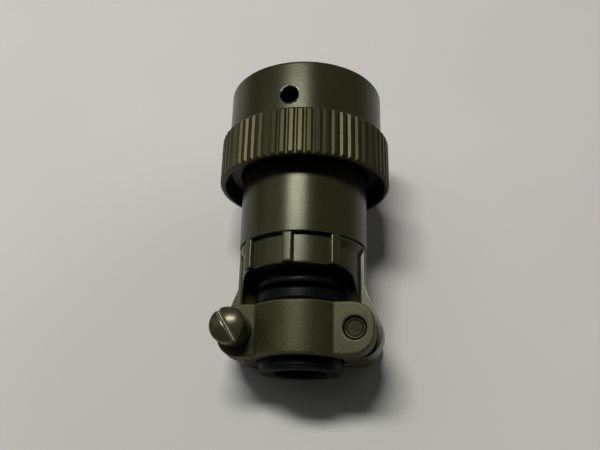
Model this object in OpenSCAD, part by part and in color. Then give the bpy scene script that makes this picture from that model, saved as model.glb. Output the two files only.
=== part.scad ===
// Bayonet-coupled circular plug with a rubber cable gland and a two-strap cable clamp.
// Every piece is drawn about the connector's own axis, in millimetres: z = 0 is the mating
// face of the coupling nut and +z runs to the cable end, x runs across the two clamp ears
// and +y is the front of the clamp. lay() then turns the plug as it lies on a table, on the
// ridges of its nut, the back strap and one strap lug. The origin stays at the centre of
// the mating face.

/* [Coupling nut] */
// Depth of the mating bore, from the mating face to the inner shoulder
bore_depth = 9.2; // [8.2:0.1:11]
// Radial room between nut and plug shell for the receptacle's wall
mate_gap = 2.1; // [1.9:0.05:2.6]
// Radial depth of the bayonet slots
slot_depth = 1.2; // [1:0.05:1.5]
// Width of the bayonet slots
slot_w = 2.3; // [2:0.1:2.6]
// Angle that a bayonet pin turns through, in degrees
slot_turn = 95; // [80:1:100]
// Depth from the mating face at which the slots start to climb
slot_start = 2.7; // [2.3:0.1:3.2]
// Wall outside the bayonet slots
band_wall = 1.25; // [1:0.05:1.6]
// Diameter of the three inspection holes
hole_d = 2.8; // [2.4:0.1:3.3]
// Depth from the mating face to the inspection holes
hole_z = 5.7; // [5.4:0.1:6.6]
// Length of the ridged grip
knurl_len = 7.5; // [5.5:0.1:8.5]
// Number of ridges round the grip
knurl_count = 64; // [40:1:80]
// Depth of the grooves between the ridges
knurl_depth = 0.45; // [0.3:0.05:0.7]
// Wall between the ring groove and the grip's grooves
grip_wall = 0.82; // [0.7:0.02:1.4]
// Length of the flared mouth behind the retaining ring
mouth_len = 1.85; // [1.4:0.05:2.6]
// Flat land left round the mouth at the rear face
mouth_land = 0.35; // [0.25:0.05:0.5]
// Edge break on the ends of the ridges
knurl_edge = 0.5; // [0.3:0.05:0.7]

/* [Nut retention] */
// Free height of the wave spring
spring_h = 1.3; // [1.1:0.05:1.6]
// Thickness of the spring strip
spring_t = 0.3; // [0.2:0.02:0.36]
// Number of waves in the spring
spring_waves = 3; // [2:1:4]
// Thickness of the thrust washer
washer_t = 0.6; // [0.4:0.05:0.9]
// Thickness of the split retaining ring
ring_t = 0.9; // [0.6:0.05:1.2]
// Depth of the retaining ring's groove in the nut
ring_bite = 0.6; // [0.4:0.05:0.8]
// Opening in the split retaining ring, in degrees
ring_split = 16; // [8:1:30]

/* [Plug shell] */
// Bore of the shell, round the insert
shell_bore_d = 13.4; // [12.8:0.1:14.2]
// Wall of the mating barrel
barrel_wall = 0.9; // [0.8:0.05:1.2]
// Distance of the barrel's edge behind the mating face
shell_setback = 0.8; // [0.4:0.1:1.4]
// Height of the flange over the nut's bore
flange_step = 1.6; // [1.4:0.05:1.9]
// Thickness of the flange
flange_t = 1.8; // [1.4:0.1:2.4]
// Height of the polarising keys
key_h = 0.75; // [0.5:0.05:0.9]
// Width of the minor keys
key_w = 1.5; // [1.2:0.1:1.9]
// Width of the master key
master_key_w = 2.4; // [2:0.1:3]
// Wall of the threaded rear end
rear_wall = 1.8; // [1.5:0.1:2.2]
// Step from the thread up to the neck
neck_step = 0.5; // [0.3:0.05:0.7]
// Length of the threaded rear end
thread_len = 5.5; // [4.6:0.1:6.4]
// Thickness of the face gasket
gasket_t = 1.3; // [0.9:0.1:1.8]

/* [Contacts] */
// Distance of the ring of contacts from the shell's bore
contact_rim = 2.5; // [2.2:0.05:2.8]
// Diameter of the contact pins
pin_d = 1.02; // [0.9:0.02:1.2]
// Diameter of the contact bodies
contact_d = 1.6; // [1.4:0.05:1.9]
// Bore of the solder cups
cup_bore_d = 1.1; // [0.9:0.05:1.2]
// Depth of the solder cups
cup_depth = 2.4; // [1.8:0.1:3]
// Distance of the pin tips behind the shell's edge
pin_setback = 2.2; // [1.2:0.1:3]
// Depth of the insert's face behind the shell's edge
face_depth = 7.1; // [6.4:0.1:8]
// Length of the rigid insert
insert_len = 9; // [8:0.1:10]
// Wall in front of the contact shoulders in the insert
retainer_t = 1.2; // [0.8:0.1:1.8]
// Thickness of the rubber seal on the insert's face
seal_t = 0.8; // [0.5:0.05:1.2]
// Height of the collars round the pins on the seal
collar_rise = 0.5; // [0.3:0.05:0.7]
// Wall of the collars round the pins
collar_wall = 0.55; // [0.4:0.05:0.7]
// How far the wire grommet stands out of the shell
grommet_proud = 1.2; // [0.8:0.1:1.6]
// Length of the contacts' rear ends inside the grommet
cup_len = 3.2; // [2.8:0.1:3.8]
// Thickness of the follower ring behind the grommet
follower_t = 1.2; // [0.9:0.05:1.6]
// Width of the follower ring
follower_w = 3; // [2.4:0.1:3.4]

/* [Backshell] */
// Wall of the smooth barrel over its thread
sleeve_wall = 1.12; // [0.95:0.01:1.3]
// Length of smooth barrel in view behind the nut
barrel_show = 10.2; // [9.5:0.1:13]
// How far the smooth barrel reaches into the nut's mouth
barrel_hide = 1.2; // [0.8:0.1:1.6]

/* [Clamp body] */
// Length of the ribbed band
band_len = 4.4; // [3.8:0.1:6]
// Depth of the recesses between the ribs
recess_depth = 0.8; // [0.4:0.02:0.9]
// Width of the single ribs at front and back
rib_w = 1.6; // [1.2:0.1:2.2]
// Half angle that the recesses span, in degrees
recess_angle = 38; // [34:1:42]
// Half angle at which the arms' lowered faces begin, in degrees
arm_angle = 45; // [44:1:50]
// Depth of the arms' lowered faces
arm_relief = 0.68; // [0.4:0.02:0.8]
// Step from the arms' walls down to the ear plates' faces
arm_step = 0.3; // [0.2:0.05:0.8]
// How much the arms widen towards the band, on each side
arm_taper = 2.5; // [1.8:0.1:2.8]
// Length of the arms between band and straps
arm_len = 4.5; // [4.2:0.1:6]
// Radius of the windows' inner corners
window_r = 1.5; // [1:0.1:2]
// Thickness of the ear plates
ear_t = 3.6; // [3:0.1:4.2]
// Radius of the ears' round ends
ear_r = 3.75; // [3:0.05:4]
// Ear beyond the screw's axis
ear_end = 3.45; // [2.8:0.05:3.9]
// Distance of the ear plates' straight edges below the barrel's surface
ear_inset = 0.2; // [0.1:0.05:0.4]
// Length of the ear plates before they start to flare
flare_start = 6; // [4:0.1:6.4]
// Wall of the threaded spigot
spigot_wall = 1.2; // [1:0.05:1.5]
// Thickness of the lip that holds the gland
lip_t = 2; // [1.4:0.1:3]

/* [Straps] */
// Width of the straps along the cable
strap_w = 7.5; // [6.6:0.1:8.4]
// Wall of the saddle
strap_wall = 1.65; // [1.5:0.05:2.2]
// Thickness of the lugs
lug_t = 3.2; // [2.6:0.1:3.5]
// Lug beyond the screw's axis
lug_end = 2.75; // [2.6:0.05:3.4]
// Radius of the lugs' corners
lug_r = 3.3; // [2:0.1:3.4]
// Gap between lugs and ears
lug_gap = 0.45; // [0.2:0.05:0.6]

/* [Screws] */
// Diameter of the screws
screw_d = 3.2; // [2.8:0.05:3.5]
// Diameter of the screw heads
head_d = 5; // [4.6:0.1:5.4]
// Height of the screw heads
head_h = 3.5; // [2.8:0.05:3.8]
// Height of the domed top within the head
dome_h = 0.7; // [0.4:0.05:1]
// Width of the driver slot
driver_w = 0.6; // [0.5:0.05:0.9]
// Depth of the driver slot
driver_depth = 1.3; // [0.9:0.05:1.6]
// Turn of the driver slots from the x axis, in degrees
driver_turn = 58; // [0:1:180]
// Room between a screw head and the saddle
head_gap = 0.45; // [0.15:0.05:0.6]
// Thickness of the lock washers
lock_t = 0.65; // [0.5:0.05:0.9]
// Depth of the screw's end below the lug's face
screw_sink = 0.3; // [0.15:0.05:0.5]
// Widening of the tapped holes' mouths
mouth_bevel = 0.14; // [0.1:0.02:0.3]

/* [Cable gland] */
// Bore for the cable
cable_d = 7.6; // [7:0.1:8.4]
// Wall of the gland under the straps
gland_wall = 2.2; // [1.9:0.05:2.5]
// Height of the collar and the bead over the strap seat
collar_h = 0.9; // [0.8:0.05:1.2]
// Height of the neck over the strap seat
neck_h = 0.3; // [0.2:0.05:0.6]
// Length of the collar in front of the straps
collar_len = 1.5; // [1.1:0.1:2]
// Radius of the bead between band and collar
bead_r = 0.75; // [0.6:0.05:0.8]
// Distance of the bead behind the band
bead_z = 1.6; // [1.3:0.1:2]
// Gland beyond the straps
gland_end = 1.9; // [1.2:0.1:3]

/* [Fits] */
// Radial gap of the turning fits
running_gap = 0.08; // [0.04:0.01:0.1]
// End gap between faces that slide or turn on each other
end_gap = 0.05; // [0.02:0.01:0.1]
// Radial gap of threads
thread_gap = 0.05; // [0.03:0.01:0.1]
// Gap round soft pieces
soft_gap = 0.1; // [0.05:0.01:0.15]
// Radial gap between fixed pieces
fixed_gap = 0.03; // [0.01:0.01:0.06]
// Radial gap of the screws' clearance holes
screw_gap = 0.15; // [0.1:0.01:0.25]
// Gap between the straps and the ends of the arms
arm_gap = 0.2; // [0.1:0.05:0.4]
// Radial room between the smooth barrel and the rings round it
ring_room = 0.35; // [0.25:0.05:0.5]
// Radial room between the gland's collar and the arms
collar_room = 0.75; // [0.5:0.05:1]
// Small edge break
edge = 0.3; // [0.15:0.05:0.4]

/* [Hidden] */

$fn = 96;
// Overshoot of cutting tools
over = 1;
// Three bayonet pins, as on every shell of this family
bayonet_count = 3;
// Angle of the inspection hole at the front of the nut
hole_angle = 90;
// Contacts in the ring round the centre one, as this insert layout has them
ring_contacts = 7;
// Angles of the four minor keys from the master key
key_angles = [105, 140, 215, 265];
// Steps along one bayonet slot, and round one wave of the spring
slot_steps = 10;
wave_steps = 12;
// Shape of one ridge: share of the pitch, and share of the groove's depth. The crest is left
// round, because the outline passes over it
ridge_shape = [
    [0, 0], [0.12, 0], [0.2, 0.6], [0.32, 0.94],
    [0.44, 1.05], [0.68, 1.05], [0.8, 0.94], [0.92, 0.6]
];

// Radii of the nut and shell, from the inside out
shell_bore_r = shell_bore_d / 2;
contact_ring_r = shell_bore_r - contact_rim;
barrel_r = shell_bore_r + barrel_wall;
bore_r = barrel_r + mate_gap;
slot_r = bore_r + slot_depth;
band_r = slot_r + band_wall;
flange_r = bore_r + flange_step;
pocket_r = flange_r + running_gap;
groove_r = pocket_r + ring_bite;
knurl_root_r = groove_r + grip_wall;
knurl_r = knurl_root_r + knurl_depth;
mouth_r = knurl_root_r - mouth_land;
thread_r = shell_bore_r + rear_wall;
sleeve_bore_r = thread_r + thread_gap;
sleeve_r = sleeve_bore_r + sleeve_wall;
ring_in_r = sleeve_r + ring_room;

// Stations along the axis, from the mating face to the clamp
flange_z = bore_depth + end_gap;
flange_end = flange_z + flange_t;
spring_z = flange_end + end_gap;
washer_z = spring_z + spring_h + end_gap;
ring_z = washer_z + washer_t + end_gap;
groove_end = ring_z + ring_t + end_gap;
nut_len = groove_end + mouth_len;
knurl_z = nut_len - knurl_len;
insert_z = shell_setback + face_depth;
insert_end = insert_z + insert_len;
sleeve_z = nut_len - barrel_hide;
shell_end = sleeve_z + thread_len;
grommet_end = shell_end + grommet_proud;
follower_end = grommet_end + follower_t;
seam_z = nut_len + barrel_show;
spigot_z = follower_end + end_gap;
band_end = seam_z + band_len;
strap_z = band_end + arm_len + arm_gap;
strap_mid = strap_z + strap_w / 2;
strap_end = strap_z + strap_w;

// Gland, straps and screws, from the cable out
cable_r = cable_d / 2;
seat_r = cable_r + gland_wall;
collar_r = seat_r + collar_h;
neck_r = seat_r + neck_h;
lip_r = neck_r + soft_gap;
spigot_bore_r = thread_r - spigot_wall;
lip_z = band_end - lip_t;
arm_bore_r = collar_r + collar_room;
saddle_r = seat_r + soft_gap;
strap_r = saddle_r + strap_wall;
lug_back = ear_t / 2 + lug_gap;
arm_half = ear_t / 2 + arm_step;
lug_face = lug_back + lug_t;
saddle_half = sqrt(strap_r * strap_r - lug_face * lug_face);
screw_x = saddle_half + head_gap + head_d / 2;
screw_r = screw_d / 2;
lug_reach = screw_x + lug_end;
ear_in = seat_r + 2 * soft_gap;
ear_reach = screw_x + ear_end;

// How the plug lies: rolled until a back lug and the saddle both touch the table,
// and pitched down from the nut's ridges to the rear edge of the saddle
roll = asin(strap_r / norm([lug_reach, lug_face])) - atan2(lug_face, lug_reach);
pitch = atan2(knurl_r - strap_r, strap_end - (nut_len - knurl_edge));

// Finishes
olive = "#5b573f";
olive_cast = "#6c674c";
spring_steel = "#7c7c78";
black_rubber = "#1b1b1f";
dark_plastic = "#2b2d2b";
gold = "#c7a24a";
screw_metal = "#77745f";

// Placement

module lay() {
    rotate([90 + pitch, 0, 0])
        rotate([0, 0, roll])
            children();
}

module back_to_front() {
    rotate([0, 0, 180])
        children();
}

// Common shapes

module turned(profile) {
    rotate_extrude()
        polygon(profile);
}

module ring(outer_r, inner_r, z, height) {
    translate([0, 0, z])
        difference() {
            cylinder(r = outer_r, h = height);
            translate([0, 0, -over])
                cylinder(r = inner_r, h = height + 2 * over);
        }
}

module around(count) {
    for (i = [0:count - 1])
        rotate([0, 0, i * 360 / count])
            children();
}

// Puts children drawn with z up on the clamp screw's axis, pointing to +y
module on_screw_axis(x, y) {
    translate([x, y, strap_mid])
        rotate([-90, 0, 0])
            children();
}

// Coupling nut

function on_circle(r, a) = [r * cos(a), r * sin(a)];

function ridge_outline() = [
    for (i = [0:knurl_count - 1])
        for (p = ridge_shape)
            on_circle(knurl_root_r + p[1] * knurl_depth, (i + p[0]) * 360 / knurl_count)
];

module grip_grooves() {
    translate([0, 0, knurl_z])
        linear_extrude(knurl_len + over)
            difference() {
                circle(r = knurl_r + over);
                polygon(ridge_outline());
            }
}

// Corner points of one cross-section of a bayonet slot at angle a and depth z
function slot_section(a, z) = [
    for (corner = [[bore_r - over, -1], [slot_r, -1], [slot_r, 1], [bore_r - over, 1]])
        concat(on_circle(corner[0], a), z + corner[1] * slot_w / 2)
];

// Side faces of a tube through rings of four points, split into triangles
function strip_faces(rings) = [
    for (k = [0:rings - 2])
        for (j = [0:3])
            let (a = 4 * k + j, b = 4 * k + (j + 1) % 4)
                each [[a, b + 4, a + 4], [a, b, b + 4]]
];

// One helical slot, climbing from its entry to the inspection hole
module slot_ramp() {
    points = [
        for (k = [0:slot_steps])
            each slot_section(
                hole_angle - slot_turn * (1 - k / slot_steps),
                slot_start + (hole_z - slot_start) * k / slot_steps
            )
    ];
    last = 4 * slot_steps;
    caps = [[3, 2, 1, 0], [last, last + 1, last + 2, last + 3]];
    polyhedron(points, concat(caps, strip_faces(slot_steps + 1)));
}

module slot_entry() {
    rotate([0, 0, hole_angle - slot_turn])
        translate([bore_r - over, -slot_w / 2, -over])
            cube([slot_depth + over, slot_w, slot_start + slot_w / 2 + over]);
}

module inspection_hole() {
    rotate([0, 0, hole_angle])
        translate([bore_r - over, 0, hole_z])
            rotate([0, 90, 0])
                cylinder(d = hole_d, h = band_r - bore_r + 2 * over);
}

module coupling_nut() {
    color(olive)
        difference() {
            turned([
                [bore_r + edge, 0],
                [band_r - edge, 0],
                [band_r, edge],
                [band_r, knurl_z],
                [knurl_r - knurl_edge, knurl_z],
                [knurl_r, knurl_z + knurl_edge],
                [knurl_r, nut_len - knurl_edge],
                [knurl_r - knurl_edge, nut_len],
                [mouth_r, nut_len],
                [pocket_r, groove_end],
                [groove_r, groove_end],
                [groove_r, ring_z - end_gap],
                [pocket_r, ring_z - end_gap],
                [pocket_r, bore_depth],
                [bore_r, bore_depth],
                [bore_r, edge]
            ]);
            grip_grooves();
            around(bayonet_count) {
                slot_ramp();
                slot_entry();
                inspection_hole();
            }
        }
}

// Pieces that hold the nut on the shell

module retaining_ring() {
    color(spring_steel)
        translate([0, 0, ring_z])
            rotate([0, 0, 270 + ring_split / 2])
                rotate_extrude(angle = 360 - ring_split)
                    translate([ring_in_r, 0])
                        square([groove_r - fixed_gap - ring_in_r, ring_t]);
}

module thrust_washer() {
    color(spring_steel)
        ring(pocket_r - running_gap, ring_in_r, washer_z, washer_t);
}

// One cross-section of the spring strip at angle a
function spring_section(a) =
    let (
        lift = (spring_h - spring_t) * (1 + cos(a * spring_waves)) / 2,
        low = spring_z + lift
    )
    [
        concat(on_circle(ring_in_r, a), low),
        concat(on_circle(pocket_r - ring_room, a), low),
        concat(on_circle(pocket_r - ring_room, a), low + spring_t),
        concat(on_circle(ring_in_r, a), low + spring_t)
    ];

module wave_spring() {
    steps = wave_steps * spring_waves;
    points = [
        for (k = [0:steps - 1])
            each spring_section(k * 360 / steps)
    ];
    faces = [
        for (f = strip_faces(steps + 1))
            [for (v = f) v % (4 * steps)]
    ];
    color(spring_steel)
        polyhedron(points, faces);
}

// Plug shell and what it holds

module key(width) {
    translate([0, -width / 2, shell_setback + edge])
        cube([barrel_r + key_h, width, flange_z - gasket_t - soft_gap - shell_setback - edge]);
}

module plug_shell() {
    color(olive)
        difference() {
            union() {
                turned([
                    [shell_bore_r, shell_setback],
                    [barrel_r - edge, shell_setback],
                    [barrel_r, shell_setback + edge],
                    [barrel_r, flange_z],
                    [flange_r, flange_z],
                    [flange_r, flange_end],
                    [thread_r + neck_step, flange_end],
                    [thread_r + neck_step, sleeve_z],
                    [thread_r, sleeve_z],
                    [thread_r, shell_end - edge],
                    [thread_r - edge, shell_end],
                    [shell_bore_r, shell_end]
                ]);
                rotate([0, 0, 90]) {
                    key(master_key_w);
                    for (a = key_angles)
                        rotate([0, 0, a])
                            key(key_w);
                }
            }
            cylinder(r = shell_bore_r, h = shell_end + over);
        }
}

module face_gasket() {
    color(black_rubber)
        ring(bore_r - ring_room, barrel_r + fixed_gap, flange_z - gasket_t, gasket_t);
}

// Places children at contact number i: 0 is the centre, the others lie on the ring
module at_contact(i) {
    rotate([0, 0, 90 + i * 360 / ring_contacts])
        translate([i == 0 ? 0 : contact_ring_r, 0, 0])
            children();
}

module at_contacts() {
    for (i = [0:ring_contacts])
        at_contact(i)
            children();
}

module pin_insert() {
    color(dark_plastic)
        difference() {
            translate([0, 0, insert_z])
                cylinder(r = shell_bore_r - fixed_gap, h = insert_len);
            at_contacts() {
                cylinder(d = pin_d + 2 * fixed_gap, h = insert_end);
                translate([0, 0, insert_z + retainer_t])
                    cylinder(d = contact_d + 2 * fixed_gap, h = insert_len);
            }
        }
}

module interface_seal() {
    color(black_rubber)
        difference() {
            translate([0, 0, insert_z - seal_t]) {
                cylinder(r = shell_bore_r - soft_gap, h = seal_t);
                at_contacts()
                    translate([0, 0, -collar_rise])
                        cylinder(d = pin_d + 2 * (soft_gap + collar_wall), h = collar_rise + seal_t);
            }
            at_contacts()
                cylinder(d = pin_d + 2 * soft_gap, h = insert_end);
        }
}

module contact(i) {
    pin_r = pin_d / 2;
    body_r = contact_d / 2;
    tip_z = shell_setback + pin_setback;
    body_z = insert_z + retainer_t + fixed_gap;
    rear_z = insert_end + cup_len;
    color(gold)
        at_contact(i)
            difference() {
                union() {
                    translate([0, 0, tip_z + pin_r])
                        sphere(r = pin_r);
                    translate([0, 0, tip_z + pin_r])
                        cylinder(r = pin_r, h = body_z - tip_z - pin_r + fixed_gap);
                    translate([0, 0, body_z])
                        cylinder(r = body_r, h = rear_z - body_z);
                }
                translate([0, 0, rear_z - cup_depth])
                    cylinder(d = cup_bore_d, h = cup_depth + over);
                translate([0, -body_r, rear_z - cup_depth / 2])
                    cube([body_r, contact_d, cup_depth]);
            }
}

module wire_grommet() {
    color(black_rubber)
        difference() {
            translate([0, 0, insert_end])
                cylinder(r = shell_bore_r - soft_gap, h = grommet_end - insert_end);
            at_contacts()
                cylinder(d = contact_d + 2 * soft_gap, h = grommet_end + over);
        }
}

module grommet_follower() {
    color(dark_plastic)
        ring(thread_r - fixed_gap, thread_r - follower_w, grommet_end, follower_t);
}

module backshell() {
    color(olive)
        turned([
            [sleeve_bore_r + edge, sleeve_z],
            [sleeve_r - edge, sleeve_z],
            [sleeve_r, sleeve_z + edge],
            [sleeve_r, seam_z],
            [sleeve_bore_r, seam_z],
            [sleeve_bore_r, sleeve_z + edge]
        ]);
}

// Clamp body: threaded spigot, ribbed band, two arms and two ears

// Point where a line from point p touches the circle of radius r about c, on its outer side
function tangent_point(p, c, r) =
    let (d = p - c, a = atan2(d[1], d[0]) + acos(r / norm(d)))
    c + on_circle(r, a);

module ear_outline() {
    centre = [ear_reach - ear_r, strap_mid];
    shoulder = [sleeve_r - ear_inset, seam_z + flare_start];
    intersection() {
        union() {
            translate(centre)
                circle(r = ear_r);
            polygon([
                [arm_bore_r, seam_z],
                [shoulder[0], seam_z],
                shoulder,
                tangent_point(shoulder, centre, ear_r),
                centre,
                [arm_bore_r, strap_mid]
            ]);
            translate([ear_in, strap_z])
                square([centre[0] - ear_in, strap_w]);
        }
        translate([ear_in, seam_z])
            square([ear_reach, strap_end - seam_z]);
    }
}

module ear() {
    difference() {
        rotate([90, 0, 0])
            linear_extrude(ear_t, center = true)
                ear_outline();
        on_screw_axis(screw_x, -ear_t)
            cylinder(r = screw_r + screw_gap, h = 2 * ear_t);
    }
}

// Side view of one window between the arms: its sides slope out to the band, with round corners
module window_outline() {
    slope = atan2(arm_taper, arm_len);
    round_len = window_r * tan((90 - slope) / 2);
    corner = [arm_half + arm_taper, band_end];
    top = band_end + arm_len + over;
    translate([corner[0] + round_len, band_end + window_r])
        circle(r = window_r);
    polygon([
        corner + [round_len, 0],
        [2 * sleeve_r, band_end],
        [2 * sleeve_r, top],
        [arm_half - over * tan(slope), top],
        corner + round_len * [-sin(slope), cos(slope)]
    ]);
}

module window() {
    rotate([90, 0, 90])
        linear_extrude(4 * sleeve_r, center = true)
            window_outline();
}

// Wedge of the outer surface, from angle a to angle b, lowered by a given depth
module lowered(a, b, depth, z, height) {
    translate([0, 0, z])
        rotate([0, 0, a])
            rotate_extrude(angle = b - a)
                translate([sleeve_r - depth, 0])
                    square([depth + over, height]);
}

module clamp_body() {
    rib_angle = asin(rib_w / 2 / sleeve_r);
    arm_end = band_end + arm_len;
    color(olive)
        union() {
            difference() {
                turned([
                    [spigot_bore_r, spigot_z],
                    [thread_r, spigot_z],
                    [thread_r, seam_z],
                    [sleeve_r, seam_z],
                    [sleeve_r, arm_end],
                    [arm_bore_r, arm_end],
                    [arm_bore_r, band_end],
                    [lip_r, band_end],
                    [lip_r, lip_z],
                    [spigot_bore_r, lip_z]
                ]);
                around(2) {
                    window();
                    lowered(90 - recess_angle, 90 - rib_angle, recess_depth, seam_z, band_len + over);
                    lowered(90 + rib_angle, 90 + recess_angle, recess_depth, seam_z, band_len + over);
                    lowered(arm_angle - 90, 90 - arm_angle, arm_relief, seam_z, arm_end - seam_z + over);
                }
            }
            around(2)
                ear();
        }
}

// Cable gland

module cable_gland() {
    flange_r_soft = spigot_bore_r - soft_gap;
    flange_front = spigot_z + soft_gap;
    flange_back = lip_z - soft_gap;
    collar_end = strap_z - arm_gap;
    rear = strap_end + gland_end;
    color(black_rubber)
        difference() {
            union() {
                turned([
                    [cable_r, flange_front],
                    [flange_r_soft, flange_front],
                    [flange_r_soft, flange_back],
                    [neck_r, flange_back],
                    [neck_r, collar_end - collar_len],
                    [collar_r - edge, collar_end - collar_len],
                    [collar_r, collar_end - collar_len + edge],
                    [collar_r, collar_end - edge],
                    [collar_r - edge, collar_end],
                    [seat_r, collar_end],
                    [seat_r, rear - edge],
                    [seat_r - edge, rear],
                    [cable_r, rear]
                ]);
                rotate_extrude()
                    translate([collar_r - bead_r, band_end + bead_z])
                        circle(r = bead_r);
            }
            translate([0, 0, flange_front - over])
                cylinder(r = cable_r, h = rear - flange_front + 2 * over);
        }
}

// Straps

// Section of a strap: a saddle over the gland with a flat lug at each side
module strap_section() {
    difference() {
        union() {
            intersection() {
                circle(r = strap_r);
                translate([-strap_r, lug_back])
                    square([2 * strap_r, strap_r]);
            }
            translate([-lug_reach, lug_back])
                square([2 * lug_reach, lug_t]);
        }
        circle(r = saddle_r);
    }
}

// Outline of a strap seen from the front, with round corners
module strap_plan() {
    inner = [2 * (lug_reach - lug_r), strap_w - 2 * lug_r];
    translate([0, strap_mid]) {
        square([2 * lug_reach, inner[1]], center = true);
        square([inner[0], strap_w], center = true);
        for (sx = [-1, 1])
            for (sy = [-1, 1])
                translate([sx * inner[0] / 2, sy * inner[1] / 2])
                    circle(r = lug_r);
    }
}

module strap() {
    tapped_r = screw_r + thread_gap;
    difference() {
        intersection() {
            translate([0, 0, strap_z])
                linear_extrude(strap_w)
                    strap_section();
            rotate([90, 0, 0])
                linear_extrude(4 * strap_r, center = true)
                    strap_plan();
        }
        on_screw_axis(-screw_x, lug_back - over)
            cylinder(r = screw_r + screw_gap, h = lug_t + 2 * over);
        on_screw_axis(screw_x, lug_back - over)
            cylinder(r = tapped_r, h = lug_t + 2 * over);
        on_screw_axis(screw_x, lug_face - mouth_bevel)
            cylinder(r1 = tapped_r, r2 = tapped_r + 2 * mouth_bevel, h = 2 * mouth_bevel);
    }
}

module front_strap() {
    color(olive_cast)
        strap();
}

module back_strap() {
    color(olive_cast)
        back_to_front()
            strap();
}

// Clamp screws and their lock washers

module screw_head() {
    head_r = head_d / 2;
    dome_r = (head_r * head_r + dome_h * dome_h) / (2 * dome_h);
    difference() {
        intersection() {
            cylinder(r = head_r, h = head_h);
            translate([0, 0, head_h - dome_r])
                sphere(r = dome_r);
        }
        translate([0, 0, head_h])
            rotate([0, 0, -driver_turn])
                cube([head_d + over, driver_w, 2 * driver_depth], center = true);
    }
}

module screw() {
    shank_len = lock_t + 2 * lug_face - screw_sink;
    color(screw_metal)
        on_screw_axis(-screw_x, lug_face + lock_t) {
            screw_head();
            translate([0, 0, -shank_len])
                turned([
                    [0, 0],
                    [screw_r - edge, 0],
                    [screw_r, edge],
                    [screw_r, shank_len],
                    [0, shank_len]
                ]);
        }
}

module lock_washer() {
    inner_r = screw_r + running_gap;
    outer_r = head_d / 2 - fixed_gap;
    color(spring_steel)
        on_screw_axis(-screw_x, lug_face)
            difference() {
                ring(outer_r, inner_r, 0, lock_t);
                rotate([0, 0, driver_turn])
                    translate([0, 0, lock_t / 2])
                        rotate([45, 0, 0])
                            translate([0, -edge / 2, -lock_t])
                                cube([head_d, edge, 2 * lock_t]);
            }
}

module front_screw() {
    screw();
}

module back_screw() {
    back_to_front()
        screw();
}

module front_lock_washer() {
    lock_washer();
}

module back_lock_washer() {
    back_to_front()
        lock_washer();
}

lay() coupling_nut();
lay() retaining_ring();
lay() thrust_washer();
lay() wave_spring();
lay() plug_shell();
lay() face_gasket();
lay() pin_insert();
lay() interface_seal();
lay() contact(1);  // contact_a
lay() contact(2);  // contact_b
lay() contact(3);  // contact_c
lay() contact(4);  // contact_d
lay() contact(5);  // contact_e
lay() contact(6);  // contact_f
lay() contact(7);  // contact_g
lay() contact(0);  // contact_h
lay() wire_grommet();
lay() grommet_follower();
lay() backshell();
lay() clamp_body();
lay() cable_gland();
lay() front_strap();
lay() back_strap();
lay() front_screw();
lay() back_screw();
lay() front_lock_washer();
lay() back_lock_washer();
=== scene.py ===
"""Looks of a bayonet-coupled circular plug with a rubber cable gland and a two-strap clamp.

Every piece is worked out in the plug's own frame, in millimetres: z = 0 is the mating face and +z runs
to the cable end, x runs across the two clamp ears and +y is the front of the clamp. Plug turns the
points into the row frame, in metres, as the plug lies on the table.
"""

import logging
import math
from dataclasses import dataclass, replace
from enum import Enum
from functools import cache
from typing import Any, Callable, Sequence

import bpy
import numpy as np
from mathutils import Matrix, Vector


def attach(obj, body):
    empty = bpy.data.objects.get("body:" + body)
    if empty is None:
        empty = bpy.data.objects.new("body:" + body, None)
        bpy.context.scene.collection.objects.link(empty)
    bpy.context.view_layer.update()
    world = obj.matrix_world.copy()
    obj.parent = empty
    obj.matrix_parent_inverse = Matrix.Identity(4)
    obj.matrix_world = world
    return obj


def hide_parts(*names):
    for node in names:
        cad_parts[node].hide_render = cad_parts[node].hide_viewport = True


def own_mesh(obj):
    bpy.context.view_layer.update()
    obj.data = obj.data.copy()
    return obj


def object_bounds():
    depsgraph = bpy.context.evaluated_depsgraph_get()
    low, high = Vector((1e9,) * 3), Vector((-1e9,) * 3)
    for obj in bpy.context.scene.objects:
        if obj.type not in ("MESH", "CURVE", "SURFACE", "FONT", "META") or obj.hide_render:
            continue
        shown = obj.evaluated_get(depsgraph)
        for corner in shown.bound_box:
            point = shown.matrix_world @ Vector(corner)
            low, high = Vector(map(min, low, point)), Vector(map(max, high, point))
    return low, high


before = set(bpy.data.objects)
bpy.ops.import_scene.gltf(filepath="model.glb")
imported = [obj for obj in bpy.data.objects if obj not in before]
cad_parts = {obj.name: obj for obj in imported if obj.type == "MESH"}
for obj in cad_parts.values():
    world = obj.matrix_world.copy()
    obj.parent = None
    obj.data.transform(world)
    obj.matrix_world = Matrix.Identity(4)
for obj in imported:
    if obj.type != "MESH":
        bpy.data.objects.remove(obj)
cad_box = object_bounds()

LOG = logging.getLogger("plug")
MM = 0.001

# Radii of edges and fillets in millimetres, from the sharpest to the roundest
HAIR, CRISP, FINE, SMALL, SOFT, FULL, WIDE = 0.05, 0.1, 0.12, 0.15, 0.2, 0.3, 0.4

SIDE_INSET = 0.05
SETTLE_PASSES = 4
LEAST_SLOPE = 0.3
BEND_LIMIT = 3.0
DETAIL, ROUGH = 3.0, 0.6

Array = np.ndarray
Range = tuple[float, float]
Triple = tuple[float, float, float]
Colour = Triple
Spot = Sequence[Array]
Field = Callable[[Spot], Array]
Place = Callable[[Array], Array]
Box = tuple[Triple, Triple]


class Body(Enum):
    """Rigid bodies that the pieces ride on."""

    SHELL = "shell"
    SEAT = "spring_seat"
    NUT = "nut"
    FRONT_CLAMP = "front_clamp"
    BACK_CLAMP = "back_clamp"
    FRONT_FASTENER = "front_fastener"
    BACK_FASTENER = "back_fastener"


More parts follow.
